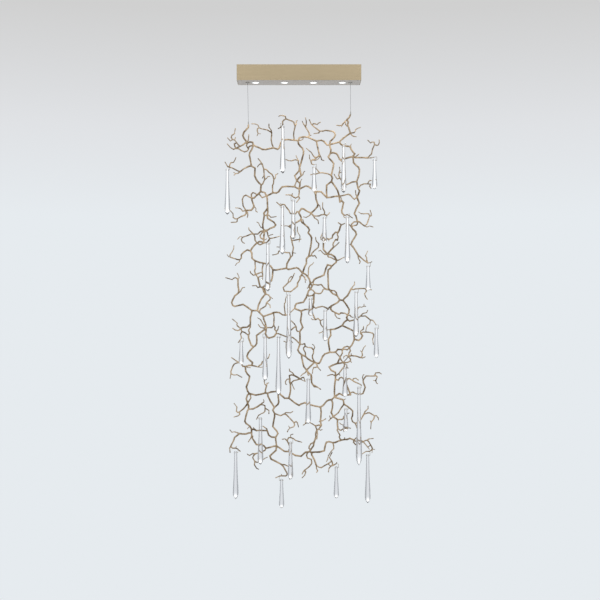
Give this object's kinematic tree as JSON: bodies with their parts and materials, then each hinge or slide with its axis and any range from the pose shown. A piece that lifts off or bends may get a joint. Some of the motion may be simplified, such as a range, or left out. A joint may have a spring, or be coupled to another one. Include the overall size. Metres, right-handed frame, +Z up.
{
  "type": "branch chandelier",
  "caption": "Hanging panel of cast bronze twigs with clear glass drops, on two wires under a long shallow ceiling canopy with recessed spotlights.",
  "frame": {"origin": "centre of the ceiling plate's top face, where the canopy meets the ceiling", "axes": "+Z up into the ceiling, +X along the canopy to the right of the picture, +Y away from the viewer"},
  "size_m": [0.7971, 0.2348, 2.205],
  "materials": {
    "champagne_metal": "brushed",
    "satin_plate": "satin",
    "zinc_steel": "zinc plated",
    "black_rubber": "matt",
    "bezel_white": "satin",
    "frosted_lens": "frosted",
    "light_engine": "white board",
    "sink_aluminium": "anodised",
    "driver_plastic": "moulded",
    "grip_metal": "satin",
    "wire_steel": "stranded",
    "hook_wire": "satin",
    "branch_bronze": "cast, patinated",
    "clear_glass": "polished"
  },
  "bodies": {
    "canopy": {"ceiling_plate": "zinc_steel", "supply_grommet": "black_rubber", "canopy_shell": "champagne_metal", "bottom_plate": "satin_plate", "canopy_screws": "zinc_steel", "spot_bezels": "bezel_white", "spot_lenses": "frosted_lens", "led_modules": "light_engine", "heat_sinks": "sink_aluminium", "spring_clips": "zinc_steel", "led_driver": "driver_plastic", "terminal_block": "driver_plastic", "cable_grips": "grip_metal", "grip_nuts": "grip_metal"},
    "branch_panel": {"suspension_wires": "wire_steel", "wire_ferrules": "grip_metal", "joint_pins": "zinc_steel", "drop_hooks": "hook_wire", "crown_left": "branch_bronze", "crown_middle": "branch_bronze", "crown_right": "branch_bronze", "upper_left": "branch_bronze", "upper_middle": "branch_bronze", "upper_inner": "branch_bronze", "upper_right": "branch_bronze", "lower_left": "branch_bronze", "lower_middle": "branch_bronze", "lower_right": "branch_bronze", "hem_left": "branch_bronze", "hem_middle": "branch_bronze", "hem_right": "branch_bronze"},
    "drop_01": {"drop_01": "clear_glass"},
    "drop_02": {"drop_02": "clear_glass"},
    "drop_03": {"drop_03": "clear_glass"},
    "drop_04": {"drop_04": "clear_glass"},
    "drop_05": {"drop_05": "clear_glass"},
    "drop_06": {"drop_06": "clear_glass"},
    "drop_07": {"drop_07": "clear_glass"},
    "drop_08": {"drop_08": "clear_glass"},
    "drop_09": {"drop_09": "clear_glass"},
    "drop_10": {"drop_10": "clear_glass"},
    "drop_11": {"drop_11": "clear_glass"},
    "drop_12": {"drop_12": "clear_glass"},
    "drop_13": {"drop_13": "clear_glass"},
    "drop_14": {"drop_14": "clear_glass"},
    "drop_15": {"drop_15": "clear_glass"},
    "drop_16": {"drop_16": "clear_glass"},
    "drop_17": {"drop_17": "clear_glass"},
    "drop_18": {"drop_18": "clear_glass"},
    "drop_19": {"drop_19": "clear_glass"},
    "drop_20": {"drop_20": "clear_glass"},
    "drop_21": {"drop_21": "clear_glass"},
    "drop_22": {"drop_22": "clear_glass"},
    "drop_23": {"drop_23": "clear_glass"},
    "drop_24": {"drop_24": "clear_glass"},
    "drop_25": {"drop_25": "clear_glass"},
    "drop_26": {"drop_26": "clear_glass"},
    "drop_27": {"drop_27": "clear_glass"},
    "drop_28": {"drop_28": "clear_glass"},
    "drop_29": {"drop_29": "clear_glass"}
  },
  "joints": [
    {"name": "panel_sway", "type": "hinge", "parent": "canopy", "child": "branch_panel", "pos_m": [0, 0, -0.072], "axis": [1, 0, 0], "range_deg": [-5, 5]},
    {"name": "drop_01_swing", "type": "hinge", "parent": "branch_panel", "child": "drop_01", "pos_m": [-0.359, 0.01577, -0.513], "axis": [1, 0, 0], "range_deg": [-8, 12]},
    {"name": "drop_02_swing", "type": "hinge", "parent": "branch_panel", "child": "drop_02", "pos_m": [-0.08, -0.05963, -0.31], "axis": [1, 0, 0], "range_deg": [-12, 3]},
    {"name": "drop_03_swing", "type": "hinge", "parent": "branch_panel", "child": "drop_03", "pos_m": [0.075, -0.04051, -0.509], "axis": [1, 0, 0], "range_deg": [-12, 6]},
    {"name": "drop_04_swing", "type": "hinge", "parent": "branch_panel", "child": "drop_04", "pos_m": [0.22, -0.06746, -0.409], "axis": [1, 0, 0], "range_deg": [-12, 3]},
    {"name": "drop_05_swing", "type": "hinge", "parent": "branch_panel", "child": "drop_05", "pos_m": [0.38, 0.03388, -0.463], "axis": [1, 0, 0], "range_deg": [-12, 12]},
    {"name": "drop_06_swing", "type": "hinge", "parent": "branch_panel", "child": "drop_06", "pos_m": [-0.082, -0.06132, -0.706], "axis": [1, 0, 0], "range_deg": [-12, 3]},
    {"name": "drop_07_swing", "type": "hinge", "parent": "branch_panel", "child": "drop_07", "pos_m": [-0.028, -0.05476, -0.675], "axis": [1, 0, 0], "range_deg": [-12, 3]},
    {"name": "drop_08_swing", "type": "hinge", "parent": "branch_panel", "child": "drop_08", "pos_m": [-0.155, -0.02967, -0.887], "axis": [1, 0, 0], "range_deg": [-12, 3]},
    {"name": "drop_09_swing", "type": "hinge", "parent": "branch_panel", "child": "drop_09", "pos_m": [0.126, -0.052, -0.76], "axis": [1, 0, 0], "range_deg": [-12, 10]},
    {"name": "drop_10_swing", "type": "hinge", "parent": "branch_panel", "child": "drop_10", "pos_m": [0.24, -0.04203, -0.757], "axis": [1, 0, 0], "range_deg": [-12, 8]},
    {"name": "drop_11_swing", "type": "hinge", "parent": "branch_panel", "child": "drop_11", "pos_m": [0.347, 0.02604, -0.997], "axis": [1, 0, 0], "range_deg": [-12, 3]},
    {"name": "drop_12_swing", "type": "hinge", "parent": "branch_panel", "child": "drop_12", "pos_m": [-0.05, -0.08692, -1.142], "axis": [1, 0, 0], "range_deg": [-12, 3]},
    {"name": "drop_13_swing", "type": "hinge", "parent": "branch_panel", "child": "drop_13", "pos_m": [-0.102, -0.02579, -1.352], "axis": [1, 0, 0], "range_deg": [-12, 4]},
    {"name": "drop_14_swing", "type": "hinge", "parent": "branch_panel", "child": "drop_14", "pos_m": [-0.286, -0.0446, -1.373], "axis": [1, 0, 0], "range_deg": [-12, 12]},
    {"name": "drop_15_swing", "type": "hinge", "parent": "branch_panel", "child": "drop_15", "pos_m": [-0.167, -0.0617, -1.352], "axis": [1, 0, 0], "range_deg": [-12, 8]},
    {"name": "drop_16_swing", "type": "hinge", "parent": "branch_panel", "child": "drop_16", "pos_m": [0.057, -0.014, -1.163], "axis": [1, 0, 0], "range_deg": [-12, 6]},
    {"name": "drop_17_swing", "type": "hinge", "parent": "branch_panel", "child": "drop_17", "pos_m": [0.13, -0.02588, -1.22], "axis": [1, 0, 0], "range_deg": [-12, 7]},
    {"name": "drop_18_swing", "type": "hinge", "parent": "branch_panel", "child": "drop_18", "pos_m": [0.285, -0.00581, -1.128], "axis": [1, 0, 0], "range_deg": [-12, 3]},
    {"name": "drop_19_swing", "type": "hinge", "parent": "branch_panel", "child": "drop_19", "pos_m": [0.389, 0.03758, -1.31], "axis": [1, 0, 0], "range_deg": [-12, 7]},
    {"name": "drop_20_swing", "type": "hinge", "parent": "branch_panel", "child": "drop_20", "pos_m": [0.046, -0.01411, -1.563], "axis": [1, 0, 0], "range_deg": [-12, 4]},
    {"name": "drop_21_swing", "type": "hinge", "parent": "branch_panel", "child": "drop_21", "pos_m": [0.228, -0.04131, -1.505], "axis": [1, 0, 0], "range_deg": [-12, 3]},
    {"name": "drop_22_swing", "type": "hinge", "parent": "branch_panel", "child": "drop_22", "pos_m": [0.232, -0.04792, -1.709], "axis": [1, 0, 0], "range_deg": [-12, 3]},
    {"name": "drop_23_swing", "type": "hinge", "parent": "branch_panel", "child": "drop_23", "pos_m": [0.296, -0.06101, -1.6], "axis": [1, 0, 0], "range_deg": [-12, 3]},
    {"name": "drop_24_swing", "type": "hinge", "parent": "branch_panel", "child": "drop_24", "pos_m": [-0.316, -0.0089, -1.927], "axis": [1, 0, 0], "range_deg": [-12, 12]},
    {"name": "drop_25_swing", "type": "hinge", "parent": "branch_panel", "child": "drop_25", "pos_m": [-0.192, -0.01985, -1.757], "axis": [1, 0, 0], "range_deg": [-12, 4]},
    {"name": "drop_26_swing", "type": "hinge", "parent": "branch_panel", "child": "drop_26", "pos_m": [-0.042, -0.04477, -1.875], "axis": [1, 0, 0], "range_deg": [-12, 3]},
    {"name": "drop_27_swing", "type": "hinge", "parent": "branch_panel", "child": "drop_27", "pos_m": [-0.087, -0.00172, -2.067], "axis": [1, 0, 0], "range_deg": [-12, 12]},
    {"name": "drop_28_swing", "type": "hinge", "parent": "branch_panel", "child": "drop_28", "pos_m": [0.187, 0.01759, -2.007], "axis": [1, 0, 0], "range_deg": [-12, 12]},
    {"name": "drop_29_swing", "type": "hinge", "parent": "branch_panel", "child": "drop_29", "pos_m": [0.345, 0.0258, -1.947], "axis": [1, 0, 0], "range_deg": [-12, 12]}
  ]
}
